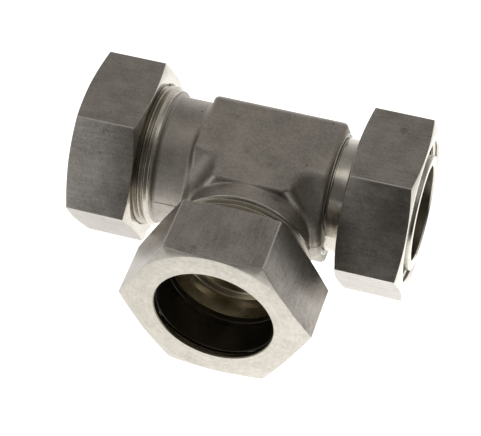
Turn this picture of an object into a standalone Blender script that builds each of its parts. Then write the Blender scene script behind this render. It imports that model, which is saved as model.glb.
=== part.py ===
"""Run tee for 42 mm tube: two compression ends and one stub with a captive swivel nut.

Metres, +Z up. The origin is on the surface that the fitting lies on, below the middle of its box.
Each arm is drawn along its own local +Z, which points out of the tee, with local z = 0 at the
tee's centre and local +X pointing up.
"""

import math

import bmesh
import bpy
from mathutils import Matrix, Vector

# Driving dimensions.
TUBE_RADIUS = 0.021
BORE_RADIUS = 0.018
BRANCH_BORE_RADIUS = 0.0176
STUB_BORE_RADIUS = 0.0174
RUNNING_GAP = 0.0003

PITCH = 0.002
THREAD_CREST = 0.026
THREAD_ROOT = 0.02475
CREST_WIDTH = 0.00025
FLANK_SLOPE = math.tan(math.radians(30))
THREAD_PLAY = 0.00018

ARM_END = 0.051
LEFT_THREAD_START = 0.038
BRANCH_THREAD_START = 0.0333
SOCKET_STOP = 0.040
CONE_MOUTH = 0.0225
CONE_SLOPE = math.tan(math.radians(12))
ARM_RADIUS = 0.0229
SHOULDER_RADIUS = 0.0244
SHOULDER_LENGTH = 0.0013

BLOCK_ACROSS_FLATS = 0.0473
BLOCK_LEFT = 0.0245
BLOCK_RIGHT = 0.0252
BLOCK_FRONT = 0.025
BLOCK_ROUND = 0.002
BLOCK_CORNER_ROUND = 0.003
BLOCK_TRIM = 0.0001
STUB_END = 0.0574

ACROSS_FLATS = 0.060
NUT_LENGTH = 0.024
NUT_FACE = 0.067
SWIVEL_NUT_BACK = 0.0326
CHAMFER_START = 0.0298
CHAMFER_SLOPE = math.tan(math.radians(15))
NUT_BORE = TUBE_RADIUS + RUNNING_GAP
NUT_LAND = 0.002
NUT_CONE_TOP = 0.0245
RELIEF_RADIUS = 0.0263
RELIEF_LENGTH = 0.0015
EDGE_BREAK = 0.0003

RING_LENGTH = 0.0157
RING_RADIUS = 0.0237
RING_NOSE_LENGTH = 0.0036
RING_NOSE_GAP = 0.0013
RING_BEVEL = 0.002
RING_BACK_GAP = 0.0005

SEGMENTS = 32
OVERCUT = 0.001
MERGE_DISTANCE = 0.00001

CORNER_RADIUS = ACROSS_FLATS / 2 / math.cos(math.radians(30))
BLOCK_CORNER = BLOCK_ACROSS_FLATS / 2 / math.cos(math.radians(30))
TEE_CENTRE = Vector(((NUT_FACE - STUB_END) / 2, (NUT_FACE - CORNER_RADIUS) / 2, ACROSS_FLATS / 2))
OUTWARD = {"left": Vector((-1, 0, 0)), "branch": Vector((0, -1, 0)), "swivel": Vector((1, 0, 0))}


def clear_scene():
    for item in list(bpy.data.objects):
        bpy.data.objects.remove(item, do_unlink=True)


def new_collection(name):
    collection = bpy.data.collections.new(name)
    bpy.context.scene.collection.children.link(collection)
    return collection


def steel(name, colour, roughness):
    """A bare steel surface."""
    material = bpy.data.materials.new(name)
    material.use_nodes = True
    shader = material.node_tree.nodes["Principled BSDF"]
    shader.inputs["Base Color"].default_value = (*colour, 1)
    shader.inputs["Roughness"].default_value = roughness
    shader.inputs["Metallic"].default_value = 1.0
    return material


def arm_matrix(arm):
    """The local frame of one arm: +Z out of the tee, +X up, the origin at the tee's centre."""
    out = OUTWARD[arm]
    up = Vector((0, 0, 1))
    rotation = Matrix((up, out.cross(up), out)).transposed()
    return Matrix.Translation(TEE_CENTRE) @ rotation.to_4x4()


def add_object(name, mesh, arm, collection):
    item = bpy.data.objects.new(name, mesh)
    collection.objects.link(item)
    item.matrix_world = arm_matrix(arm)
    return item


def turned(name, outline, arm, collection, closed=False):
    """A solid of revolution about the arm's axis.

    The outline is a list of (radius, z) that runs down its outer side. It starts and ends on the
    axis, or is closed into a loop for a ring.
    """
    mesh = bpy.data.meshes.new(name)
    edges = [(i, i + 1) for i in range(len(outline) - 1)]
    if closed:
        edges.append((len(outline) - 1, 0))
    mesh.from_pydata([(radius, 0, z) for radius, z in outline], edges, [])
    item = add_object(name, mesh, arm, collection)
    screw = item.modifiers.new("turn", "SCREW")
    screw.steps = SEGMENTS
    screw.render_steps = SEGMENTS
    screw.use_merge_vertices = True
    screw.merge_threshold = MERGE_DISTANCE
    screw.use_smooth_shade = True
    return item


def thread_profile(z, crest, root, crest_width):
    """The radius of a thread at the height z above the middle of one of its crests."""
    from_crest = abs((z / PITCH + 0.5) % 1.0 - 0.5) * PITCH
    depth = (from_crest - crest_width / 2) / FLANK_SLOPE
    return max(root, min(crest, crest - depth))


def threaded_rod(name, low, high, crest, root, crest_width, end_radius, arm, collection):
    """A solid rod with a right-hand thread, cut square and chamfered at both ends.

    Its rows follow the helix. At each end they are held at the end's plane, where they meet.
    """
    flank = (crest - root) * FLANK_SLOPE
    offsets = (-crest_width / 2, crest_width / 2, crest_width / 2 + flank, PITCH - crest_width / 2 - flank)
    first_turn = math.floor(low / PITCH) - 1
    last_turn = math.ceil(high / PITCH) + 1
    heights = [turn * PITCH + offset for turn in range(first_turn, last_turn) for offset in offsets]
    builder = bmesh.new()
    rows = []
    for height in heights:
        row = []
        for step in range(SEGMENTS):
            angle = 2 * math.pi * step / SEGMENTS
            rise = PITCH * step / SEGMENTS
            z = min(high, max(low, height + rise))
            radius = thread_profile(z - rise, crest, root, crest_width)
            chamfer = end_radius + min(z - low, high - z)
            radius = min(radius, chamfer)
            row.append(builder.verts.new((radius * math.cos(angle), radius * math.sin(angle), z)))
        rows.append(row)
    rows_per_turn = len(offsets)
    for index in range(len(rows) - 1):
        for step in range(SEGMENTS - 1):
            lower = (rows[index][step], rows[index][step + 1])
            upper = (rows[index + 1][step + 1], rows[index + 1][step])
            builder.faces.new((*lower, *upper))
        after = index + rows_per_turn
        if after + 1 < len(rows):
            lower = (rows[after - rows_per_turn][SEGMENTS - 1], rows[after][0])
            upper = (rows[after + 1][0], rows[index + 1][SEGMENTS - 1])
            builder.faces.new((*lower, *upper))
    bmesh.ops.remove_doubles(builder, verts=builder.verts, dist=MERGE_DISTANCE)
    bmesh.ops.dissolve_degenerate(builder, edges=builder.edges, dist=MERGE_DISTANCE)
    open_edges = [edge for edge in builder.edges if edge.is_boundary]
    bmesh.ops.holes_fill(builder, edges=open_edges, sides=0)
    bmesh.ops.recalc_face_normals(builder, faces=builder.faces)
    mesh = bpy.data.meshes.new(name)
    builder.to_mesh(mesh)
    builder.free()
    return add_object(name, mesh, arm, collection)


def hex_prism(name, corner_radius, low, high, arm, collection):
    """A hexagonal bar with flats at the top and the bottom of the fitting."""
    builder = bmesh.new()
    middle = Matrix.Translation((0, 0, (low + high) / 2))
    bmesh.ops.create_cone(
        builder, cap_ends=True, segments=6, radius1=corner_radius, radius2=corner_radius,
        depth=high - low, matrix=middle)
    mesh = bpy.data.meshes.new(name)
    builder.to_mesh(mesh)
    builder.free()
    return add_object(name, mesh, arm, collection)


def block_shape(name, size, arm, collection):
    """A box given by its lowest and highest corners in the arm's frame."""
    low, high = size
    builder = bmesh.new()
    bmesh.ops.create_cube(builder, size=1.0)
    extent = [high[axis] - low[axis] for axis in range(3)]
    middle = [(high[axis] + low[axis]) / 2 for axis in range(3)]
    bmesh.ops.scale(builder, vec=extent, verts=builder.verts)
    bmesh.ops.translate(builder, vec=middle, verts=builder.verts)
    mesh = bpy.data.meshes.new(name)
    builder.to_mesh(mesh)
    builder.free()
    return add_object(name, mesh, arm, collection)


def round_edges(item, size):
    """Round every edge of a bar or a box."""
    bevel = item.modifiers.new("rounded_edges", "BEVEL")
    bevel.width = size
    bevel.segments = 2
    bevel.limit_method = "ANGLE"


def combine(target, tool, operation):
    """Apply one Boolean step to the target and put the tool out of sight."""
    step = target.modifiers.new(tool.name, "BOOLEAN")
    step.operation = operation
    step.solver = "EXACT"
    step.object = tool
    tool.hide_render = True
    tool.display_type = "WIRE"


def finish(item, material):
    """Give a finished part its steel and shade its round faces smooth."""
    if not item.data.materials:
        item.data.materials.append(material)
    item.data.shade_smooth()
    item.data.set_sharp_from_angle(angle=math.radians(30))


def arm_outline(thread_start):
    """A forged arm with the short shoulder where its thread begins."""
    return [
        (0, thread_start + OVERCUT), (SHOULDER_RADIUS, thread_start + OVERCUT),
        (SHOULDER_RADIUS, thread_start), (ARM_RADIUS, thread_start - SHOULDER_LENGTH),
        (ARM_RADIUS, BLOCK_LEFT / 2), (0, BLOCK_LEFT / 2)]


def socket_outline(bore_radius, depth):
    """The 24 degree cone, tube socket and bore of one arm, as the space they leave."""
    above = ARM_END + OVERCUT
    cone_bottom = ARM_END - (CONE_MOUTH - TUBE_RADIUS) / CONE_SLOPE
    return [
        (0, above), (CONE_MOUTH + OVERCUT * CONE_SLOPE, above), (TUBE_RADIUS, cone_bottom),
        (TUBE_RADIUS, SOCKET_STOP), (bore_radius, SOCKET_STOP), (bore_radius, depth), (0, depth)]


def branch_root(cutters):
    """The hexagonal root of the branch, trimmed to the block's length with rounded corners."""
    root = hex_prism("branch_root", BLOCK_CORNER, 0, BLOCK_FRONT, "branch", cutters)
    round_edges(root, BLOCK_ROUND)
    low = (-BLOCK_CORNER, -BLOCK_RIGHT + BLOCK_TRIM, -BLOCK_FRONT)
    high = (BLOCK_CORNER, BLOCK_LEFT - BLOCK_TRIM, BLOCK_FRONT + BLOCK_TRIM)
    trim = block_shape("branch_root_trim", (low, high), "branch", cutters)
    round_edges(trim, BLOCK_CORNER_ROUND)
    combine(root, trim, "INTERSECT")
    return root


def make_tee_body(parts, cutters, material):
    """The forged body with its threaded arms, bores, wrench flats and turned stub."""
    body = hex_prism("tee_body", BLOCK_CORNER, -BLOCK_LEFT, BLOCK_RIGHT, "swivel", parts)
    round_edges(body, BLOCK_ROUND)
    combine(body, branch_root(cutters), "UNION")

    stub = [
        (0, STUB_END), (TUBE_RADIUS - EDGE_BREAK, STUB_END), (TUBE_RADIUS, STUB_END - EDGE_BREAK),
        (TUBE_RADIUS, BLOCK_RIGHT / 2), (0, BLOCK_RIGHT / 2)]
    combine(body, turned("stub", stub, "swivel", cutters), "UNION")

    for arm, thread_start in (("left", LEFT_THREAD_START), ("branch", BRANCH_THREAD_START)):
        combine(body, turned(arm + "_arm", arm_outline(thread_start), arm, cutters), "UNION")
        rod = threaded_rod(
            arm + "_arm_thread", thread_start, ARM_END, THREAD_CREST, THREAD_ROOT, CREST_WIDTH,
            THREAD_ROOT - EDGE_BREAK / 2, arm, cutters)
        combine(body, rod, "UNION")

    left_bore = socket_outline(BORE_RADIUS, -BLOCK_RIGHT)
    combine(body, turned("left_bore", left_bore, "left", cutters), "DIFFERENCE")
    branch_bore = socket_outline(BRANCH_BORE_RADIUS, 0)
    combine(body, turned("branch_bore", branch_bore, "branch", cutters), "DIFFERENCE")
    stub_bore = [
        (0, STUB_END + OVERCUT), (STUB_BORE_RADIUS + EDGE_BREAK + OVERCUT, STUB_END + OVERCUT),
        (STUB_BORE_RADIUS, STUB_END - EDGE_BREAK), (STUB_BORE_RADIUS, 0), (0, 0)]
    combine(body, turned("stub_bore", stub_bore, "swivel", cutters), "DIFFERENCE")
    finish(body, material)


def nut_heights(low, high, flipped):
    """A function that takes a distance from the nut's tube end to a height on its arm."""
    if flipped:
        return lambda distance: low + distance
    return lambda distance: high - distance


def nut_blank_outline(low, high):
    """A barrel whose cones put the chamfers on both ends of the hexagon."""
    outside = CORNER_RADIUS + OVERCUT
    drop = (outside - CHAMFER_START) * CHAMFER_SLOPE
    return [(0, high), (CHAMFER_START, high), (outside, high - drop),
            (outside, low + drop), (CHAMFER_START, low), (0, low)]


def nut_bore_outline(height):
    """The tube hole, the 45 degree cone that presses on the ring, the relief and the mouth."""
    cone_end = NUT_LAND + NUT_CONE_TOP - NUT_BORE
    relief_start = cone_end + (RELIEF_RADIUS - NUT_CONE_TOP) / 3
    relief_end = relief_start + RELIEF_LENGTH
    below_thread = THREAD_ROOT
    mouth = RELIEF_RADIUS + EDGE_BREAK
    mouth_depth = mouth - below_thread
    stations = [
        (0, -OVERCUT), (NUT_BORE + EDGE_BREAK + OVERCUT, -OVERCUT), (NUT_BORE, EDGE_BREAK),
        (NUT_BORE, NUT_LAND), (NUT_CONE_TOP, cone_end), (RELIEF_RADIUS, relief_start),
        (RELIEF_RADIUS, relief_end), (below_thread, relief_end + RELIEF_RADIUS - below_thread),
        (below_thread, NUT_LENGTH - mouth_depth), (mouth + OVERCUT, NUT_LENGTH + OVERCUT),
        (0, NUT_LENGTH + OVERCUT)]
    points = [(radius, height(distance)) for radius, distance in stations]
    if points[0][1] < points[-1][1]:
        points.reverse()
    return points, relief_end


def make_nut(name, low, high, arm, flipped, parts, cutters, material):
    """One hexagon nut from low to high on its arm. flipped puts its tube hole at the low end."""
    nut = hex_prism(name, CORNER_RADIUS, low - OVERCUT, high + OVERCUT, arm, parts)
    barrel = turned(name + "_barrel", nut_blank_outline(low, high), arm, cutters)
    combine(nut, barrel, "INTERSECT")
    height = nut_heights(low, high, flipped)
    outline, relief_end = nut_bore_outline(height)
    combine(nut, turned(name + "_bore", outline, arm, cutters), "DIFFERENCE")
    ends = sorted((height(relief_end - PITCH / 8), height(NUT_LENGTH + PITCH)))
    root = THREAD_ROOT + RUNNING_GAP
    crest = THREAD_CREST + THREAD_PLAY
    groove = CREST_WIDTH + 2 * THREAD_PLAY - 2 * THREAD_PLAY * FLANK_SLOPE
    rod = threaded_rod(
        name + "_thread", ends[0], ends[1], crest, root, groove, root - EDGE_BREAK / 6, arm, cutters)
    combine(nut, rod, "DIFFERENCE")
    finish(nut, material)


def make_cutting_ring(name, back, arm, flipped, parts, material):
    """A cutting ring with its bevelled back at the height back and its nose towards the cone."""
    nose_radius = ring_nose_radius(0)
    step_radius = ring_nose_radius(RING_NOSE_LENGTH)
    bore = NUT_BORE
    bevel_foot = RING_RADIUS - RING_BEVEL
    stations = [
        (bore, 0), (bevel_foot, 0), (RING_RADIUS, RING_BEVEL),
        (RING_RADIUS, RING_LENGTH - RING_NOSE_LENGTH - EDGE_BREAK),
        (step_radius, RING_LENGTH - RING_NOSE_LENGTH), (nose_radius, RING_LENGTH),
        (bore, RING_LENGTH)]
    side = 1 if flipped else -1
    outline = [(radius, back + side * distance) for radius, distance in stations]
    if flipped:
        outline.reverse()
    ring = turned(name, outline, arm, parts, closed=True)
    finish(ring, material)


def ring_nose_radius(distance):
    """The outer radius of a ring's tapered nose, at a distance back from its cutting edge."""
    ring_back = NUT_FACE - NUT_LAND - (RING_RADIUS - RING_BEVEL - NUT_BORE) - RING_BACK_GAP
    height = ring_back - RING_LENGTH + distance
    cone_radius = CONE_MOUTH - (ARM_END - height) * CONE_SLOPE
    return cone_radius - RING_NOSE_GAP * CONE_SLOPE


def main():
    clear_scene()
    parts = new_collection("compression_fitting")
    cutters = new_collection("cutters")
    forged = steel("forged_steel", (0.40, 0.37, 0.34), 0.48)
    nut_steel = steel("nut_steel", (0.43, 0.40, 0.37), 0.36)
    ring_steel = steel("ring_steel", (0.075, 0.07, 0.06), 0.35)

    make_tee_body(parts, cutters, forged)

    back_depth = NUT_LAND + (RING_RADIUS - RING_BEVEL - NUT_BORE) + RING_BACK_GAP
    for arm in ("left", "branch"):
        make_nut(arm + "_nut", NUT_FACE - NUT_LENGTH, NUT_FACE, arm, False, parts, cutters, nut_steel)
        make_cutting_ring(arm + "_cutting_ring", NUT_FACE - back_depth, arm, False, parts, ring_steel)
    mouth = SWIVEL_NUT_BACK + NUT_LENGTH
    make_nut("swivel_nut", SWIVEL_NUT_BACK, mouth, "swivel", True, parts, cutters, nut_steel)
    ring_back = SWIVEL_NUT_BACK + back_depth
    make_cutting_ring("swivel_cutting_ring", ring_back, "swivel", True, parts, ring_steel)


main()
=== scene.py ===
"""The looks of a run tee for 42 mm tube: a forged body, three hexagon nuts and three cutting rings."""

import math

import bmesh
import bpy
import numpy as np
from mathutils import Matrix, Vector


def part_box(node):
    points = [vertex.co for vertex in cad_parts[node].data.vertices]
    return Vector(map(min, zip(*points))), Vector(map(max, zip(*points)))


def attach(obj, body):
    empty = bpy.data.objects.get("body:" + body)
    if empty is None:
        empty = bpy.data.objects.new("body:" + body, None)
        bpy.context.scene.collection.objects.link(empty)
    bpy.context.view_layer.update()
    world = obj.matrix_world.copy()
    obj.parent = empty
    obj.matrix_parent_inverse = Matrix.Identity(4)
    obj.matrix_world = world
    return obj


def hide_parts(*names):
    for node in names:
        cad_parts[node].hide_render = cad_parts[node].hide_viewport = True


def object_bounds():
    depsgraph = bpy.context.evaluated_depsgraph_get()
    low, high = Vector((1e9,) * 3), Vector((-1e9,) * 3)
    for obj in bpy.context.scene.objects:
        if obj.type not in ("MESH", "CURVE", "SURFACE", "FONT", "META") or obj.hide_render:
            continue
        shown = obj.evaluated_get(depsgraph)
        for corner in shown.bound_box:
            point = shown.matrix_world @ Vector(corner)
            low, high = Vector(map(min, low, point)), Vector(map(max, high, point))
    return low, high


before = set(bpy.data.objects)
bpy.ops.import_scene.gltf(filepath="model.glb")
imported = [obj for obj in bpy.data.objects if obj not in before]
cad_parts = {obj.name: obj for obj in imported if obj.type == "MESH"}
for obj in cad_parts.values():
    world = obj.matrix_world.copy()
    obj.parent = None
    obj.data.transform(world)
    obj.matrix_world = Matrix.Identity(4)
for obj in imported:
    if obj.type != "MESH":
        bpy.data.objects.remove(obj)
CAD_LOW, CAD_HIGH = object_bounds()

# Sizes read from the frame. Distances along an arm start at the tee's centre.
BODY_LOW, BODY_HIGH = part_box("tee_body")
LEFT_LOW, LEFT_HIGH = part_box("left_nut")
BRANCH_LOW, BRANCH_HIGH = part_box("branch_nut")
SWIVEL_LOW, SWIVEL_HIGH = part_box("swivel_nut")
CENTRE = Vector((
    (BRANCH_LOW.x + BRANCH_HIGH.x) / 2, (LEFT_LOW.y + LEFT_HIGH.y) / 2, (LEFT_LOW.z + LEFT_HIGH.z) / 2))
HALF_FLATS = (LEFT_HIGH.z - LEFT_LOW.z) / 2
NUT_LENGTH = LEFT_HIGH.x - LEFT_LOW.x
NUT_FACE = CENTRE.x - LEFT_LOW.x
SWIVEL_BACK = SWIVEL_LOW.x - CENTRE.x
ARM_END = CENTRE.x - BODY_LOW.x
STUB_END = BODY_HIGH.x - CENTRE.x

# Sizes of the fitting that a box can't give, in metres.
TUBE_RADIUS = 0.021
BORE_RADIUS = 0.018
STUB_BORE_RADIUS = 0.0174
SOCKET_STOP = 0.040
CONE_MOUTH = 0.0225
CONE_SLOPE = math.tan(math.radians(12))
PITCH = 0.002
FLANK_SLOPE = math.tan(math.radians(30))
THREAD_CREST = 0.02596
THREAD_ROOT = 0.02475
LEFT_THREAD_START = 0.038
BRANCH_THREAD_START = 0.0333
NUT_THREAD_PLAY = 0.00014
BLOCK_FLAT = 0.02365
BLOCK_LEFT = 0.0245
BLOCK_RIGHT = 0.0254
BLOCK_FRONT = 0.0251
ARM_RADIUS = 0.0229
SHOULDER_RADIUS = 0.0247
SHOULDER_LENGTH = 0.0009
STEM_INSIDE_BLOCK = 0.0035
COLLAR_RADIUS = 0.0223
COLLAR_LENGTH = 0.00035
STUB_GROOVE_RADIUS = 0.0203
STUB_GROOVE_LENGTH = 0.00065
CHAMFER_START = 0.0298
CHAMFER_SLOPE = math.tan(math.radians(15))
NUT_BORE = 0.0213
NUT_LAND = 0.002
NUT_CONE_TOP = 0.0245
RELIEF_RADIUS = 0.0263

OUTWARD = {"left": Vector((-1, 0, 0)), "branch": Vector((0, -1, 0)), "swivel": Vector((1, 0, 0))}

MM = 0.001

# Turned steel: light tone, dark tone and roughness. The bores are oily and browner. The mouths and the thread
# grooves are darker, browner steel: painted shade in these hollows.
TURNED = ((0.62, 0.592, 0.54), (0.46, 0.436, 0.39), (0.16, 0.26))
BORED = ((0.66, 0.61, 0.50), (0.56, 0.51, 0.40), (0.20, 0.30))
# Mouth tones, darker than turned steel: painted shade inside the stub's bore and the nuts' mouths.
MOUTH = ((0.26, 0.24, 0.19), (0.18, 0.165, 0.13), (0.26, 0.36))
# Thread groove tones, darker than turned steel: painted shade in the thread roots.
GROOVE = ((0.46, 0.43, 0.37), (0.34, 0.315, 0.265), (0.24, 0.34))

# Drawn bar: dark tone and light tone, on the flats and on the worn corners.
DRAWN = ((0.27, 0.252, 0.23), (0.49, 0.462, 0.43))
WORN = ((0.56, 0.53, 0.49), (0.66, 0.63, 0.59))
DRAWN_SPECK = (0.22, 0.20, 0.18)

# Forging skin: dark tone and light tone, and its stains and pits.
FORGED = ((0.30, 0.278, 0.252), (0.51, 0.48, 0.44))
FORGED_STAIN = (0.29, 0.265, 0.235)
FORGED_PIT = (0.17, 0.15, 0.13)

# The rings' nearly black tones: dark tone and light tone.
COATED = ((0.055, 0.05, 0.042), (0.10, 0.093, 0.08))

# The floor's glow: as the camera sees it, and as the metal sees it where it is bright and where it is dim.
FLOOR_SEEN = 1.04
FLOOR_BRIGHT = 1.5
FLOOR_DIM = 0.3
WARM_WHITE = (1.0, 0.985, 0.96, 1)


# ---------------------------------------------------------------- mesh building

def arm_matrix(arm):
    """The local frame of one arm: +Z out of the tee, +X up, the origin at the tee's centre."""
    out = OUTWARD[arm]
    up = Vector((0, 0, 1))
    rotation = Matrix((up, out.cross(up), out)).transposed()
    return Matrix.Translation(CENTRE) @ rotation.to_4x4()


def round_corners(points, radii, steps=4):
    """A (radius, z) outline with each corner replaced by an arc of the given radius."""
    rounded = []
    last = len(points) - 1
    for index, (point, size) in enumerate(zip(points, radii)):
        here = np.array(point, float)
        if size == 0 or index in (0, last):
            rounded.append(here)
            continue
        back = np.array(points[index - 1], float) - here
        on = np.array(points[index + 1], float) - here
        back_length, on_length = np.linalg.norm(back), np.linalg.norm(on)
        back, on = back / back_length, on / on_length
        half = math.acos(max(-1.0, min(1.0, float(back @ on)))) / 2
        reach = min(size / math.tan(half), 0.45 * back_length, 0.45 * on_length)
        arc_radius = reach * math.tan(half)
        middle = here + (back + on) / np.linalg.norm(back + on) * (arc_radius / math.sin(half))
        start, end = here + back * reach - middle, here + on * reach - middle
        sweep = math.pi - 2 * half
        for step in range(steps + 1):
            share = step / steps
            weight = math.sin(sweep) or 1.0
            turn = (math.sin((1 - share) * sweep) * start + math.sin(share * sweep) * end) / weight
            rounded.append(middle + turn)
    return rounded


def ring_points(outline, angles):
    """Points of a turned grid: one row for each outline point, one column for each angle."""
    outline = np.array(outline)
    radius, height = outline[:, 0][:, None], outline[:, 1][:, None]
    return np.stack([radius * np.cos(angles), radius * np.sin(angles), height + 0 * angles], axis=-1)


def build_mesh(name, grids, arm=None):
    """One welded mesh from grids of points.

    A grid is (points, row shift, closed rows). Its columns always close; after a whole turn a row
    meets the row that the shift says, which is 0 for a turned grid and one pitch for a thread.
    """
    builder = bmesh.new()
    for points, shift, closed in grids:
        rows, columns = points.shape[:2]
        verts = [[builder.verts.new(p) for p in row] for row in points.tolist()]
        for i in range(rows if closed else rows - 1):
            after = (i + 1) % rows
            for j in range(columns - 1):
                builder.faces.new((verts[i][j], verts[i][j + 1], verts[after][j + 1], verts[after][j]))
            if i + shift + 1 < rows or shift == 0:
                seam = ((i + shift) % rows, (i + shift + 1) % rows)
                builder.faces.new((
                    verts[i][columns - 1], verts[seam[0]][0], verts[seam[1]][0], verts[after][columns - 1]))
    bmesh.ops.remove_doubles(builder, verts=builder.verts, dist=2e-6)
    bmesh.ops.dissolve_degenerate(builder, edges=builder.edges, dist=2e-6)
    bmesh.ops.recalc_face_normals(builder, faces=builder.faces)
    mesh = bpy.data.meshes.new(name)
    builder.to_mesh(mesh)
    builder.free()
    item = bpy.data.objects.new(name, mesh)
    bpy.context.scene.collection.objects.link(item)
    if arm:
        mesh.transform(arm_matrix(arm))
    return item


def smooth(item, degrees=32):
    item.data.shade_smooth()
    item.data.set_sharp_from_angle(angle=math.radians(degrees))


def even_angles(count):
    return np.arange(count) * 2 * math.pi / count


def thread_outline(crest, root, crest_width, low, high):
    """A thread's outline along one line: (heights, radii, points in a pitch), crests at whole pitches."""
    flank = (crest - root) * FLANK_SLOPE
    first, last = math.floor(low / PITCH) - 2, math.ceil(high / PITCH) + 2
    points = []
    for turn in range(first, last):
        middle = turn * PITCH
        points += [
            (crest, middle - crest_width / 2), (crest, middle + crest_width / 2),
            (root, middle + crest_width / 2 + flank), (root, middle + PITCH - crest_width / 2 - flank)]
    steps = 2
    rounded = np.array(round_corners(points, [0.07 * MM] * len(points), steps))
    in_pitch = 4 * (steps + 1)
    rounded = rounded[in_pitch - steps:-in_pitch + steps]
    return rounded[:, 1], rounded[:, 0], in_pitch


def thread_grid(low, high, crest, root, crest_width, angles, end_radius, inside=False):
    """Points of a right-hand thread between two planes, ending in plain circles of end_radius."""
    heights, radii, in_pitch = thread_outline(crest, root, crest_width, low, high)
    rise = PITCH * angles / (2 * math.pi)
    z = np.clip(heights[:, None] + rise[None, :], low, high)
    radius = np.interp((z - rise[None, :]).ravel(), heights, radii).reshape(z.shape)
    lead = np.minimum(z - low, high - z)
    if inside:
        radius = np.maximum(radius, end_radius - lead)
    else:
        radius = np.minimum(radius, end_radius + lead)
    points = np.stack([radius * np.cos(angles), radius * np.sin(angles), z], axis=-1)
    return points, in_pitch


# ---------------------------------------------------------------- the forged body

def capped_cylinder(along, across, radius, low, high, edge):
    """Distance to a cylinder with rounded rims, from the position along it and off its axis."""
    off = across - (radius - edge)
    past = np.maximum(low + edge - along, along - (high - edge))
    outside = np.hypot(np.maximum(off, 0), np.maximum(past, 0))
    return outside + np.minimum(np.maximum(off, past), 0) - edge


def join_with_fillet(a, b, size):
    return np.maximum(size, np.minimum(a, b)) - np.hypot(np.maximum(size - a, 0), np.maximum(size - b, 0))


def trim_with_round(a, b, size):
    return -join_with_fillet(-a, -b, size)


def forged_arm(along, across, block_end, thread_start):
    """An arm from just inside the block, with the short step up to its thread."""
    stem_start, shoulder_start = block_end - STEM_INSIDE_BLOCK, thread_start - SHOULDER_LENGTH
    end = thread_start + MM
    stem = capped_cylinder(along, across, ARM_RADIUS, stem_start, end, 0.3 * MM)
    shoulder = capped_cylinder(along, across, SHOULDER_RADIUS, shoulder_start, end, 0.7 * MM)
    return join_with_fillet(stem, shoulder, 1.3 * MM)


def slanted_sides(across, z, edge):
    """Distance to the four slanted sides of a hexagonal bar that has flats at the top and bottom."""
    lean, rise = math.cos(math.radians(30)) * np.abs(across), math.sin(math.radians(30)) * z
    return trim_with_round(lean + rise - BLOCK_FLAT, lean - rise - BLOCK_FLAT, edge)


def forging_distance(points):
    """Signed distance from the forging's skin, for points given from the tee's centre."""
    x, y, z = points[:, 0], points[:, 1], points[:, 2]
    off_run, off_branch = np.hypot(y, z), np.hypot(x, z)
    ends = np.maximum(-x - BLOCK_LEFT, x - BLOCK_RIGHT)
    run = trim_with_round(slanted_sides(y, z, 2.2 * MM), ends, 1.9 * MM)
    root = trim_with_round(slanted_sides(x, z, 2.2 * MM), ends, 2.6 * MM)
    root = np.maximum(trim_with_round(root, -y - BLOCK_FRONT, 2.4 * MM), y)
    edge = np.interp(-y, (BLOCK_FRONT - 4.0 * MM, BLOCK_FRONT - 1.5 * MM), (2.2 * MM, 1.0 * MM))
    block = trim_with_round(join_with_fillet(run, root, 5.0 * MM), np.abs(z) - BLOCK_FLAT, edge)
    branch_arm = forged_arm(-y, off_branch, BLOCK_FRONT, BRANCH_THREAD_START)
    left_arm = forged_arm(-x, off_run, BLOCK_LEFT, LEFT_THREAD_START)
    block = join_with_fillet(block, branch_arm, 0.9 * MM)
    block = join_with_fillet(block, left_arm, 1.5 * MM)
    seam = np.abs(z) - 0.35 * MM
    flash = trim_with_round(block - 0.22 * MM, seam, 0.2 * MM)
    flash_span = np.maximum(-x - LEFT_THREAD_START, -y - BRANCH_THREAD_START) + 1.8 * MM
    flash = np.maximum(flash, flash_span)
    return join_with_fillet(block, flash, 0.25 * MM)


def distance_slope(points):
    """The distance at each point and its gradient, from central differences."""
    step = 0.02 * MM
    slope = np.empty_like(points)
    for axis in range(3):
        shift = np.zeros(3)
        shift[axis] = step
        slope[:, axis] = (forging_distance(points + shift) - forging_distance(points - shift)) / (2 * step)
    return forging_distance(points), slope


def onto_forging(mesh, rounds):
    """Move each vertex onto the forging's skin."""
    points = np.empty(len(mesh.vertices) * 3)
    mesh.vertices.foreach_get("co", points)
    points = points.reshape(-1, 3)
    for _ in range(rounds):
        distance, slope = distance_slope(points)
        length = np.maximum((slope ** 2).sum(axis=1), 0.25)
        points -= slope * (distance / length)[:, None]
    mesh.vertices.foreach_set("co", points.ravel())
    mesh.update()


def remeshed(item, voxel):
    """The item's mesh rebuilt as even quads."""
    step = item.modifiers.new("even", "REMESH")
    step.mode = "VOXEL"
    step.voxel_size = voxel
    graph = bpy.context.evaluated_depsgraph_get()
    mesh = bpy.data.meshes.new_from_object(item.evaluated_get(graph))
    item.modifiers.clear()
    item.data = mesh
    return item


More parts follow.
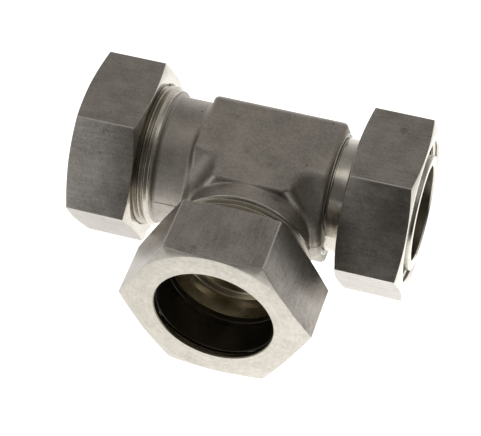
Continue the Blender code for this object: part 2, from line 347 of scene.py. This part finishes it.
def make_forging(name):
    """The forging as a closed skin around the tee's centre, before any machining."""
    round_bar, hexagon = even_angles(64), even_angles(6)
    corner = BLOCK_FLAT / math.cos(math.radians(30))
    bars = [
        ("swivel", hexagon, corner, -BLOCK_LEFT, BLOCK_RIGHT),
        ("branch", hexagon, corner, 0, BLOCK_FRONT)]
    for arm, start in (("left", LEFT_THREAD_START), ("branch", BRANCH_THREAD_START)):
        bars.append((arm, round_bar, ARM_RADIUS, 0, start + MM))
        bars.append((arm, round_bar, SHOULDER_RADIUS, start - SHOULDER_LENGTH, start + MM))
    rough = []
    for arm, angles, radius, low, high in bars:
        turn = math.radians(30) if angles is hexagon else 0
        outline = [(0, low), (radius, low), (radius, high), (0, high)]
        piece = build_mesh(name, [(ring_points(outline, angles + turn), 0, False)])
        piece.data.transform(Matrix.Translation(-CENTRE) @ arm_matrix(arm))
        rough.append(piece)
    builder = bmesh.new()
    for piece in rough:
        builder.from_mesh(piece.data)
        bpy.data.objects.remove(piece)
    mesh = bpy.data.meshes.new(name)
    builder.to_mesh(mesh)
    builder.free()
    item = bpy.data.objects.new(name, mesh)
    bpy.context.scene.collection.objects.link(item)
    coarse, fine = 0.8 * MM, 0.36 * MM
    onto_forging(remeshed(item, coarse).data, 8)
    onto_forging(remeshed(item, fine).data, 6)
    item.data.transform(Matrix.Translation(CENTRE))
    return item


# ---------------------------------------------------------------- the machined body

def threaded_end(name, arm, thread_start):
    """The threaded outside of an arm as a solid bar, for joining to the forging."""
    angles = even_angles(144)
    end_radius = THREAD_ROOT - 0.15 * MM
    points, in_pitch = thread_grid(
        thread_start, ARM_END, THREAD_CREST, THREAD_ROOT, 0.25 * MM, angles, end_radius)
    top = ring_points([(end_radius, ARM_END), (0, ARM_END)], angles)
    bottom = ring_points([(end_radius, thread_start), (0, thread_start)], angles)
    return build_mesh(name, [(points, in_pitch, False), (top, 0, False), (bottom, 0, False)], arm)


def turned_solid(name, arm, outline, sizes, count=144):
    angles = even_angles(count)
    return build_mesh(name, [(ring_points(round_corners(outline, sizes), angles), 0, False)], arm)


def stub_bar(name):
    """The turned stub as a solid bar, with the collar and groove where it leaves the block."""
    collar_end = BLOCK_RIGHT + COLLAR_LENGTH
    groove_end = collar_end + STUB_GROOVE_LENGTH
    outline = [
        (0, STUB_END), (TUBE_RADIUS, STUB_END), (TUBE_RADIUS, groove_end), (STUB_GROOVE_RADIUS, groove_end),
        (STUB_GROOVE_RADIUS, collar_end), (COLLAR_RADIUS, collar_end), (COLLAR_RADIUS, BLOCK_RIGHT / 2),
        (0, BLOCK_RIGHT / 2)]
    sizes = [0, 0.5 * MM, 0.1 * MM, 0.15 * MM, 0.15 * MM, 0.25 * MM, 0, 0]
    return turned_solid(name, "swivel", outline, sizes)


def socket_space(name, arm, depth):
    """The cone, tube socket and bore of one arm, as a solid to cut away."""
    above = ARM_END + MM
    cone_bottom = ARM_END - (CONE_MOUTH - TUBE_RADIUS) / CONE_SLOPE
    rim = CONE_MOUTH + 0.35 * MM
    outline = [
        (0, above), (rim + MM, above), (rim, ARM_END), (CONE_MOUTH - 0.05 * MM, ARM_END - 0.35 * MM),
        (TUBE_RADIUS, cone_bottom), (TUBE_RADIUS, SOCKET_STOP), (BORE_RADIUS + 0.4 * MM, SOCKET_STOP),
        (BORE_RADIUS, SOCKET_STOP - 0.4 * MM), (BORE_RADIUS, depth), (0, depth)]
    sizes = [0, 0, 0.1 * MM, 0.1 * MM, 0.2 * MM, 0.4 * MM, 0.1 * MM, 0.1 * MM, 0, 0]
    return turned_solid(name, arm, outline, sizes)


def stub_space(name):
    """The stub's bore, as a solid to cut away."""
    outline = [
        (0, STUB_END + MM), (STUB_BORE_RADIUS + 1.6 * MM, STUB_END + MM),
        (STUB_BORE_RADIUS, STUB_END - 0.6 * MM), (STUB_BORE_RADIUS, 0.012), (0, 0.012)]
    return turned_solid(name, "swivel", outline, [0, 0, 0.2 * MM, 0, 0])


def combine(target, tools, operation):
    """Join each tool to the target, or cut it away, and remove the tool."""
    for tool in tools:
        step = target.modifiers.new("combine", "BOOLEAN")
        step.operation = operation
        step.solver = "MANIFOLD"
        step.object = tool
        graph = bpy.context.evaluated_depsgraph_get()
        mesh = bpy.data.meshes.new_from_object(target.evaluated_get(graph))
        target.modifiers.clear()
        target.data = mesh
        bpy.data.objects.remove(tool)


def face_table(mesh):
    """Face centres and normals, from the tee's centre, as arrays."""
    centres = np.empty(len(mesh.polygons) * 3)
    normals = np.empty(len(mesh.polygons) * 3)
    mesh.polygons.foreach_get("center", centres)
    mesh.polygons.foreach_get("normal", normals)
    return centres.reshape(-1, 3) - np.array(CENTRE), normals.reshape(-1, 3)


def make_tee_body():
    """One closed body: the forging, its threaded ends and stub, and the bores through them."""
    body = make_forging("tee_body_skin")
    left_end = threaded_end("left_end", "left", LEFT_THREAD_START)
    branch_end = threaded_end("branch_end", "branch", BRANCH_THREAD_START)
    combine(body, [left_end, branch_end, stub_bar("bar")], "UNION")
    left_cut = socket_space("left_cut", "left", -0.022)
    branch_cut = socket_space("branch_cut", "branch", 0)
    combine(body, [left_cut, branch_cut, stub_space("cut")], "DIFFERENCE")
    mesh = body.data
    centres, normals = face_table(mesh)
    x, y, z = centres.T
    off_run, off_branch = np.hypot(y, z), np.hypot(x, z)
    out_of_run = (normals[:, 1] * y + normals[:, 2] * z) / off_run
    out_of_branch = (normals[:, 0] * x + normals[:, 2] * z) / off_branch
    edge = 0.3 * MM
    faces_in = (out_of_run < 0.2) & (off_run < CONE_MOUTH)
    in_run = faces_in & (x > edge - ARM_END) & (x < STUB_END - edge)
    in_stub = in_run & (x > STUB_BORE_RADIUS + 5 * MM)
    faces_in = (out_of_branch < 0.2) & (off_branch < CONE_MOUTH)
    in_branch = faces_in & (-y > BORE_RADIUS * 0.7) & (-y < ARM_END - edge)
    # Turned skin outside, with darker steel painted as shade in the thread grooves.
    on_stub = (x > BLOCK_RIGHT - 0.2 * MM) & (off_run < COLLAR_RADIUS + 0.1 * MM)
    on_run = (-x > LEFT_THREAD_START - 0.1 * MM) | on_stub
    on_branch = -y > BRANCH_THREAD_START - SHOULDER_LENGTH
    groove, runout = THREAD_CREST - 0.25 * MM, 1.1 * MM
    root_of_run = (-x > LEFT_THREAD_START + runout) & (-x < ARM_END - edge) & (off_run < groove)
    root_of_branch = (-y > BRANCH_THREAD_START + runout) & (-y < ARM_END - edge) & (off_branch < groove)
    # The first that holds wins, and the forging's own skin is slot 0.
    slots = (
        (in_branch, turned_steel("Y", "bored_steel", BORED)),
        # The stub's bore near its mouth gets painted shade.
        (in_stub, turned_steel("X", "stub_bore", MOUTH)),
        (in_run, turned_steel("X", "bored_steel", BORED)),
        # The thread roots on both arms get painted shade.
        (root_of_branch, turned_steel("Y", "thread_groove_painted_shade", GROOVE)),
        (root_of_run, turned_steel("X", "thread_groove_painted_shade", GROOVE)),
        (on_branch, turned_steel("Y")), (on_run, turned_steel("X")))
    kind = np.select([faces for faces, _ in slots], range(1, len(slots) + 1), 0)
    mesh.materials.clear()
    for material in [forged_steel()] + [material for _, material in slots]:
        mesh.materials.append(material)
    mesh.polygons.foreach_set("material_index", kind.astype(np.int32))
    smooth(body, 30)
    return body


# ---------------------------------------------------------------- nuts and rings

def hexagon_angles():
    """Angles round a hexagon, close together at its corners."""
    flat = np.radians(np.linspace(-29, 29, 25))
    corner = np.radians([29.25, 29.5, 29.65, 29.8, 29.9, 30.0, 30.1, 30.2, 30.35, 30.5, 30.75])
    sector = np.concatenate([flat, corner])
    return np.concatenate([sector + math.radians(60 * side) for side in range(6)])


def hexagon_radius(angle, corner_round=0.4 * MM):
    """Distance from the axis to a hexagon's side, whose corners are rounded."""
    from_flat = abs((angle + math.pi / 6) % (math.pi / 3) - math.pi / 6)
    tangent = math.atan((HALF_FLATS - corner_round) * math.tan(math.pi / 6) / HALF_FLATS)
    if from_flat <= tangent:
        return HALF_FLATS / math.cos(from_flat)
    to_corner = math.pi / 6 - from_flat
    middle = (HALF_FLATS - corner_round) / math.cos(math.pi / 6)
    return middle * math.cos(to_corner) + math.sqrt(corner_round ** 2 - (middle * math.sin(to_corner)) ** 2)


def nut_outline(side):
    """The nut's section at one angle, as (radius, distance from its tube end), and its roundings."""
    cone_end = NUT_LAND + NUT_CONE_TOP - NUT_BORE
    relief = (cone_end + 0.6 * MM, cone_end + 2.1 * MM)
    groove = THREAD_CREST + NUT_THREAD_PLAY
    drop = (side - CHAMFER_START) * CHAMFER_SLOPE
    points = [
        (groove, relief[1]), (RELIEF_RADIUS, relief[1] - 0.2 * MM), (RELIEF_RADIUS, relief[0]),
        (NUT_CONE_TOP, cone_end), (NUT_BORE, NUT_LAND), (NUT_BORE, 0.35 * MM), (NUT_BORE + 0.35 * MM, 0),
        (CHAMFER_START, 0), (side, drop), (side, NUT_LENGTH - drop), (CHAMFER_START, NUT_LENGTH),
        (groove + 0.5 * MM, NUT_LENGTH), (groove, NUT_LENGTH - 0.5 * MM)]
    sizes = [size * MM for size in (0, 0.05, 0.2, 0.1, 0.15, 0.1, 0.1, 0.15, 0.3, 0.3, 0.15, 0.1, 0)]
    return points, sizes, relief[1]


def make_nut(name, arm, low, flipped, materials):
    """A hexagon nut from low on its arm. flipped puts its tube end at low and not at the far end."""
    angles = hexagon_angles()
    columns = []
    for angle in angles:
        points, sizes, thread_low = nut_outline(hexagon_radius(angle))
        outline = np.array(round_corners(points, sizes, 3))
        columns.append(np.stack([
            outline[:, 0] * math.cos(angle), outline[:, 0] * math.sin(angle), outline[:, 1]], axis=-1))
    shell = np.stack(columns, axis=1)
    if not flipped:
        shell[:, :, 2] = NUT_LENGTH - shell[:, :, 2]
    shell[:, :, 2] += low
    ends = (thread_low, NUT_LENGTH - 0.5 * MM)
    if flipped:
        ends = (low + ends[0], low + ends[1])
    else:
        ends = (low + NUT_LENGTH - ends[1], low + NUT_LENGTH - ends[0])
    groove = THREAD_CREST + NUT_THREAD_PLAY
    points, in_pitch = thread_grid(
        ends[0], ends[1], groove, THREAD_ROOT + 0.25 * MM, 0.46 * MM, angles, groove, inside=True)
    nut = build_mesh(name, [(shell, 0, False), (points, in_pitch, False)], arm)
    centres, normals = face_table(nut.data)
    out = np.array(OUTWARD[arm])
    along = centres @ out
    off_axis = np.linalg.norm(centres - along[:, None] * out, axis=1)
    around = (centres - along[:, None] * out) / off_axis[:, None]
    inward = (normals * around).sum(axis=1) < -0.2
    tube_side = np.abs(along - (low if flipped else low + NUT_LENGTH)) < NUT_LAND + NUT_CONE_TOP - NUT_BORE
    beside = np.abs(around @ np.array(Vector((0, 0, 1)).cross(Vector(out))))
    turn = np.degrees(np.arctan2(beside, np.abs(around[:, 2])))
    near_corner = np.abs(turn % 60 - 30) < 0.5
    on_flat = (off_axis > HALF_FLATS * 0.985) & (np.abs(normals @ out) < 0.35)
    # Inward faces at the tube end take the mouth finish, which is painted shade.
    kind = np.select([on_flat & near_corner, on_flat, inward & tube_side], [3, 0, 2], 1)
    for material in materials:
        nut.data.materials.append(material)
    nut.data.polygons.foreach_set("material_index", kind.astype(np.int32))
    smooth(nut, 25)
    return nut


def make_ring(name, arm, node, material):
    """A cutting ring in its node's place: bevelled at the back, tapered to its cutting edge."""
    low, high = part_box(node)
    out = OUTWARD[arm]
    ends = sorted((Vector(corner) - CENTRE).dot(out) for corner in (low, high))
    length, radius = ends[1] - ends[0], (high.z - low.z) / 2
    nose, bevel, bore = 3.6 * MM, 2.0 * MM, NUT_BORE
    outline = [
        (bore, 0.3 * MM), (bore + 0.15 * MM, 0), (radius - bevel, 0), (radius, bevel),
        (radius, length - nose - 0.3 * MM), (radius - 1.25 * MM, length - nose),
        (radius - 2.0 * MM, length), (bore + 0.1 * MM, length), (bore, length - 0.2 * MM),
        (bore, length - 2.2 * MM), (bore + 0.3 * MM, length - 2.5 * MM), (bore + 0.3 * MM, length - 4 * MM),
        (bore, length - 4.3 * MM)]
    sizes = [0] + [0.1 * MM] * (len(outline) - 2) + [0]
    points = np.array(round_corners(outline, sizes, 3))
    if arm == "swivel":
        points[:, 1] += ends[0]
    else:
        points[:, 1] = ends[1] - points[:, 1]
    ring = build_mesh(name, [(ring_points(points, even_angles(144)), 0, True)], arm)
    ring.data.materials.append(material)
    smooth(ring, 25)
    return ring


# ---------------------------------------------------------------- materials

class Nodes:
    """A short way to write a node tree."""

    def __init__(self, material):
        self.tree = material.node_tree
        self.shader = self.tree.nodes["Principled BSDF"]

    def add(self, kind, **settings):
        node = self.tree.nodes.new("ShaderNode" + kind)
        for key, value in settings.items():
            setattr(node, key, value)
        return node

    def link(self, source, target):
        self.tree.links.new(source, target)
        return source

    def math(self, operation, a, b=None, clamp=False):
        node = self.add("Math", operation=operation, use_clamp=clamp)
        for socket, value in zip(node.inputs, (a, b)):
            if value is None:
                continue
            if isinstance(value, (int, float)):
                socket.default_value = value
            else:
                self.link(value, socket)
        return node.outputs[0]

    def position(self):
        """Place on the piece, in metres from the tee's centre, turning with the piece."""
        coordinates = self.add("TexCoord")
        place = self.add("VectorMath", operation="SUBTRACT")
        self.link(coordinates.outputs["Object"], place.inputs[0])
        place.inputs[1].default_value = CENTRE
        return place.outputs[0]

    def scaled(self, vector, scale):
        node = self.add("VectorMath", operation="MULTIPLY")
        self.link(vector, node.inputs[0])
        node.inputs[1].default_value = scale
        return node.outputs[0]

    def noise(self, vector, scale, detail=3.0, roughness=0.5):
        node = self.add("TexNoise")
        self.link(vector, node.inputs["Vector"])
        node.inputs["Scale"].default_value = scale
        node.inputs["Detail"].default_value = detail
        node.inputs["Roughness"].default_value = roughness
        return node.outputs["Fac"]

    def spread(self, value, low, high, to_low=0.0, to_high=1.0):
        node = self.add("MapRange", clamp=True)
        self.link(value, node.inputs["Value"])
        for key, number in (("From Min", low), ("From Max", high), ("To Min", to_low), ("To Max", to_high)):
            node.inputs[key].default_value = number
        return node.outputs["Result"]

    def mix_colour(self, share, first, second):
        node = self.add("Mix", data_type="RGBA")
        self.link(share, node.inputs[0])
        for socket, value in ((node.inputs[6], first), (node.inputs[7], second)):
            if isinstance(value, tuple):
                socket.default_value = (*value, 1)
            else:
                self.link(value, socket)
        return node.outputs[2]

    def bump(self, height, strength, distance, under=None):
        node = self.add("Bump")
        node.inputs["Strength"].default_value = strength
        node.inputs["Distance"].default_value = distance
        self.link(height, node.inputs["Height"])
        if under:
            self.link(under, node.inputs["Normal"])
        return node.outputs["Normal"]


def steel(name):
    material = bpy.data.materials.new(name)
    material.use_nodes = True
    nodes = Nodes(material)
    nodes.shader.inputs["Metallic"].default_value = 1.0
    return material, nodes


def few_spots(nodes, place, scale, radius, share):
    """1 inside a few small round spots, 0 elsewhere. share is how much of the cells has one."""
    cells = nodes.add("TexVoronoi")
    nodes.link(place, cells.inputs["Vector"])
    cells.inputs["Scale"].default_value = scale
    split = nodes.add("SeparateColor")
    nodes.link(cells.outputs["Color"], split.inputs[0])
    chosen = nodes.math("LESS_THAN", split.outputs[0], share)
    inside = nodes.spread(cells.outputs["Distance"], radius * 0.5, radius, 1.0, 0.0)
    return nodes.math("MULTIPLY", chosen, inside)


def forged_steel():
    """Blasted and pickled forging skin: matte and gritty, with soft blotches and a few pits."""
    material, nodes = steel("forged_steel")
    place = nodes.position()
    patches = nodes.noise(place, 75, 4, 0.62)
    grain = nodes.noise(place, 1250, 4, 0.7)
    pits = few_spots(nodes, place, 300, 0.17, 0.10)
    stains = nodes.spread(nodes.noise(place, 150, 5, 0.7), 0.30, 0.40)
    mixed = nodes.math("ADD", nodes.math("MULTIPLY", patches, 0.45), nodes.math("MULTIPLY", grain, 0.55))
    tone = nodes.mix_colour(nodes.spread(mixed, 0.38, 0.62), *FORGED)
    tone = nodes.mix_colour(stains, FORGED_STAIN, tone)
    tone = nodes.mix_colour(pits, tone, FORGED_PIT)
    nodes.link(tone, nodes.shader.inputs["Base Color"])
    nodes.link(nodes.spread(grain, 0.3, 0.7, 0.42, 0.56), nodes.shader.inputs["Roughness"])
    normal = nodes.bump(patches, 0.3, 0.0006)
    normal = nodes.bump(grain, 0.55, 0.00013, normal)
    normal = nodes.bump(nodes.math("SUBTRACT", 1.0, pits), 0.5, 0.00015, normal)
    nodes.link(normal, nodes.shader.inputs["Normal"])
    return material


def axis_parts(nodes, place, axis):
    """Sockets for the distance along an axis and off it."""
    split = nodes.add("SeparateXYZ")
    nodes.link(place, split.inputs[0])
    along = split.outputs[axis]
    others = [split.outputs[name] for name in "XYZ" if name != axis]
    squares = [nodes.math("MULTIPLY", socket, socket) for socket in others]
    return along, nodes.math("SQRT", nodes.math("ADD", *squares))


def tool_rings(nodes, place, axis, count):
    """Noise in fine rings round the axis, count to the metre, on cylinders and on end faces alike."""
    along, off_axis = axis_parts(nodes, place, axis)
    section = nodes.add("CombineXYZ")
    nodes.link(nodes.math("MULTIPLY", along, count), section.inputs[0])
    nodes.link(nodes.math("MULTIPLY", off_axis, count), section.inputs[1])
    return nodes.noise(section.outputs[0], 1.0, 2, 0.6)


def turned_steel(axis, name="turned_steel", finish=TURNED):
    """Lathe-turned steel, with tool rings, soft patches and a few marks."""
    light, dark, rough = finish
    material, nodes = steel(name + "_" + axis.lower())
    place = nodes.position()
    rings = tool_rings(nodes, place, axis, 5200)
    patches = nodes.noise(place, 160, 4, 0.65)
    mottle = nodes.noise(place, 480, 4, 0.7)
    marks = few_spots(nodes, place, 260, 0.12, 0.12)
    mixed = nodes.math("ADD", nodes.math("MULTIPLY", rings, 0.25), nodes.math("MULTIPLY", patches, 0.35))
    mixed = nodes.math("ADD", mixed, nodes.math("MULTIPLY", mottle, 0.40))
    tone = nodes.mix_colour(nodes.spread(mixed, 0.38, 0.62), dark, light)
    tone = nodes.mix_colour(marks, tone, tuple(part * 0.72 for part in dark))
    nodes.link(tone, nodes.shader.inputs["Base Color"])
    nodes.link(nodes.spread(patches, 0.3, 0.7, *rough), nodes.shader.inputs["Roughness"])
    normal = nodes.bump(patches, 0.08, 0.0002)
    nodes.link(nodes.bump(rings, 0.12, 0.00003, normal), nodes.shader.inputs["Normal"])
    return material


def drawn_steel(axis, name="drawn_steel", tones=DRAWN):
    """Drawn hexagon bar: satin and mottled, with faint streaks along the nut and a few dark specks."""
    dark, light = tones
    material, nodes = steel(name + "_" + axis.lower())
    place = nodes.position()
    stretch = [1.0, 1.0, 1.0]
    stretch["XYZ".index(axis)] = 0.12
    streaks = nodes.noise(nodes.scaled(place, stretch), 1100, 3, 0.6)
    patches = nodes.noise(place, 110, 5, 0.65)
    grain = nodes.noise(place, 1300, 3, 0.65)
    specks = few_spots(nodes, place, 360, 0.12, 0.10)
    stains = nodes.spread(nodes.noise(place, 120, 6, 0.8), 0.31, 0.41)
    mixed = nodes.math("ADD", nodes.math("MULTIPLY", streaks, 0.22), nodes.math("MULTIPLY", patches, 0.38))
    mixed = nodes.math("ADD", mixed, nodes.math("MULTIPLY", grain, 0.40))
    tone = nodes.mix_colour(nodes.spread(mixed, 0.38, 0.62), dark, light)
    tone = nodes.mix_colour(stains, tuple(part * 0.8 for part in dark), tone)
    tone = nodes.mix_colour(specks, tone, DRAWN_SPECK)
    nodes.link(tone, nodes.shader.inputs["Base Color"])
    nodes.link(nodes.spread(mixed, 0.3, 0.7, 0.28, 0.38), nodes.shader.inputs["Roughness"])
    normal = nodes.bump(patches, 0.15, 0.0004)
    normal = nodes.bump(streaks, 0.12, 0.00003, normal)
    normal = nodes.bump(grain, 0.3, 0.00005, normal)
    nodes.link(normal, nodes.shader.inputs["Normal"])
    return material


def coated_steel(axis, name):
    """A turned ring made nearly black, with a dull sheen."""
    material, nodes = steel(name)
    place = nodes.position()
    rings = tool_rings(nodes, place, axis, 4000)
    patches = nodes.noise(place, 120, 3, 0.5)
    tone = nodes.mix_colour(nodes.spread(patches, 0.3, 0.7), *COATED)
    nodes.link(tone, nodes.shader.inputs["Base Color"])
    nodes.link(nodes.spread(rings, 0.3, 0.7, 0.34, 0.46), nodes.shader.inputs["Roughness"])
    nodes.link(nodes.bump(rings, 0.15, 0.00003), nodes.shader.inputs["Normal"])
    return material


# ---------------------------------------------------------------- the studio

def make_camera():
    """The photograph's view: a long lens above and a little to the right of the branch."""
    azimuth, elevation, roll = math.radians(17.685), math.radians(48.25), math.radians(-0.564)
    distance, aside, above = 0.6676, -0.010436, -0.014098
    level = math.cos(elevation)
    back = Vector((math.sin(azimuth) * level, -math.cos(azimuth) * level, math.sin(elevation)))
    right = Vector((math.cos(azimuth), math.sin(azimuth), 0))
    up = back.cross(right)
    across = right * math.cos(roll) + up * math.sin(roll)
    upward = up * math.cos(roll) - right * math.sin(roll)
    camera = bpy.data.objects.new("camera", bpy.data.cameras.new("camera"))
    bpy.context.scene.collection.objects.link(camera)
    rotation = Matrix((across, upward, back)).transposed().to_4x4()
    place = CENTRE + across * aside + upward * above + back * distance
    camera.matrix_world = Matrix.Translation(place) @ rotation
    camera.data.sensor_width = 36
    camera.data.lens = 137.59
    camera.data.clip_start = 0.05
    bpy.context.scene.camera = camera


def make_floor():
    """A plain white floor under the nuts. In the metal it ends a short way in front, like a lit table."""
    mesh = bpy.data.meshes.new("floor")
    builder = bmesh.new()
    bmesh.ops.create_grid(builder, x_segments=1, y_segments=1, size=3)
    builder.to_mesh(mesh)
    builder.free()
    floor = bpy.data.objects.new("floor", mesh)
    floor.location.z = CAD_LOW.z - 0.0002
    bpy.context.scene.collection.objects.link(floor)
    material = bpy.data.materials.new("floor")
    material.use_nodes = True
    nodes = Nodes(material)
    nodes.shader.inputs["Base Color"].default_value = (0.3, 0.3, 0.3, 1)
    nodes.shader.inputs["Roughness"].default_value = 0.9
    nodes.shader.inputs["Specular IOR Level"].default_value = 0.1
    split = nodes.add("SeparateXYZ")
    nodes.link(nodes.add("TexCoord").outputs["Object"], split.inputs[0])
    x, y = split.outputs["X"], split.outputs["Y"]
    # In the metal the floor brightens to the right and behind, and dims past the right and front edges.
    slope = nodes.math("ADD", nodes.math("MULTIPLY", x, 2.7), nodes.math("MULTIPLY", y, 3.6))
    cap = nodes.spread(y, 0.03, 0.15, FLOOR_BRIGHT, 0.95)
    near = nodes.math("MINIMUM", nodes.math("ADD", slope, 1.37), cap)
    near = nodes.math("MULTIPLY", near, nodes.spread(x, 0.10, 0.19, 1.0, 0.35))
    table_end = nodes.spread(y, -0.24, -0.14)
    near = nodes.math("MULTIPLY", nodes.math("MAXIMUM", near, FLOOR_DIM), table_end)
    seen_in_metal = nodes.math("MAXIMUM", near, nodes.spread(x, -0.2, -0.06, FLOOR_DIM, 0.04))
    seen_directly = nodes.add("LightPath").outputs["Is Camera Ray"]
    glow = nodes.math("MAXIMUM", nodes.math("MULTIPLY", seen_directly, FLOOR_SEEN), seen_in_metal)
    nodes.shader.inputs["Emission Color"].default_value = WARM_WHITE
    nodes.link(glow, nodes.shader.inputs["Emission Strength"])
    mesh.materials.append(material)


def ramp(tree, height, stops):
    """A colour ramp over the sine of the elevation, as (sine, grey, warmth) stops."""
    node = tree.nodes.new("ShaderNodeValToRGB")
    tree.links.new(height, node.inputs["Fac"])
    elements = node.color_ramp.elements
    while len(elements) < len(stops):
        elements.new(0.5)
    for element, (position, grey, warmth) in zip(elements, stops):
        element.position = position
        element.color = (grey, grey * (1 - warmth / 2), grey * (1 - warmth), 1)
    return node.outputs["Color"]


def share_along(tree, direction, toward, low, high):
    """0 to 1 as the direction turns toward the given one, between two dot products."""
    dot = tree.nodes.new("ShaderNodeVectorMath")
    dot.operation = "DOT_PRODUCT"
    tree.links.new(direction, dot.inputs[0])
    dot.inputs[1].default_value = Vector(toward).normalized()
    step = tree.nodes.new("ShaderNodeMapRange")
    step.interpolation_type = "SMOOTHSTEP"
    tree.links.new(dot.outputs["Value"], step.inputs["Value"])
    step.inputs["From Min"].default_value = low
    step.inputs["From Max"].default_value = high
    return step.outputs["Result"]


def blend(tree, share, first, second):
    node = tree.nodes.new("ShaderNodeMix")
    node.data_type = "RGBA"
    tree.links.new(share, node.inputs[0])
    for socket, value in ((node.inputs[6], first), (node.inputs[7], second)):
        if isinstance(value, tuple):
            socket.default_value = value
        else:
            tree.links.new(value, socket)
    return node.outputs[2]


def make_world():
    """A white studio seen in the metal: pale low behind, dark in front and to the right, bright overhead."""
    world = bpy.data.worlds.new("studio")
    bpy.context.scene.world = world
    world.use_nodes = True
    tree = world.node_tree
    direction = tree.nodes.new("ShaderNodeTexCoord").outputs["Generated"]
    split = tree.nodes.new("ShaderNodeSeparateXYZ")
    tree.links.new(direction, split.inputs[0])
    height = split.outputs["Z"]
    behind = ramp(tree, height, (
        (0.0, 0.90, 0.04), (0.26, 0.60, 0.06), (0.5, 0.40, 0.10),
        (0.72, 0.305, 0.12), (0.88, 0.385, 0.10), (1.0, 0.6, 0.06)))
    front_left = ramp(tree, height, (
        (0.0, 0.32, 0.12), (0.5, 0.26, 0.14), (0.8, 0.2, 0.14), (1.0, 0.6, 0.08)))
    front_right = ramp(tree, height, (
        (0.0, 0.06, 0.1), (0.1, 0.04, 0.15), (0.36, 0.05, 0.15),
        (0.6, 0.11, 0.12), (0.85, 0.15, 0.12), (1.0, 0.6, 0.08)))
    front = blend(tree, share_along(tree, direction, (-1, 0, 0), 0.3, 0.6), front_right, front_left)
    around = blend(tree, share_along(tree, direction, (0, 1, 0), -0.15, 0.4), front, behind)
    lamp = share_along(tree, direction, (-0.2, 0, 0.97), 0.978, 0.991)
    tree.links.new(blend(tree, lamp, around, (1.15, 1.12, 1.05, 1)), tree.nodes["Background"].inputs["Color"])


def make_light(name, place, size, power, glossy):
    """A soft square light aimed at the tee. glossy says whether it shows in the metal."""
    data = bpy.data.lights.new(name, "AREA")
    data.size = size
    data.energy = power
    light = bpy.data.objects.new(name, data)
    light.location = CENTRE + Vector(place)
    light.rotation_euler = (-Vector(place)).to_track_quat("-Z", "Y").to_euler()
    light.visible_glossy = glossy
    bpy.context.scene.collection.objects.link(light)


def make_studio():
    make_camera()
    make_floor()
    make_world()
    make_light("top", (0.1, -0.2, 1.2), 1.6, 12, False)
    make_light("front_left_card", (-0.485, -0.59, 0.1), 0.75, 0.70, True)
    bpy.context.scene.view_settings.view_transform = "Standard"


# ---------------------------------------------------------------- the object

def dress(piece, body, node):
    """Put a finished piece in its node's place, on its body."""
    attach(piece, body)
    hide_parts(node)


def make_object():
    dress(make_tee_body(), "tee", "tee_body")
    for arm, axis, low, flipped in (
            ("left", "X", NUT_FACE - NUT_LENGTH, False), ("branch", "Y", NUT_FACE - NUT_LENGTH, False),
            ("swivel", "X", SWIVEL_BACK, True)):
        # The third finish is painted shade in the nut's mouth.
        materials = (
            drawn_steel(axis), turned_steel(axis, "turned_nut_" + arm),
            turned_steel(axis, "nut_mouth_" + arm, MOUTH), drawn_steel(axis, "worn_edge", WORN))
        nut = make_nut(arm + "_nut_skin", arm, low, flipped, materials)
        dress(nut, arm + "_nut", arm + "_nut")
        ring = make_ring(arm + "_ring_skin", arm, arm + "_cutting_ring", coated_steel(axis, "ring_" + arm))
        dress(ring, arm + "_ring", arm + "_cutting_ring")


make_studio()
make_object()
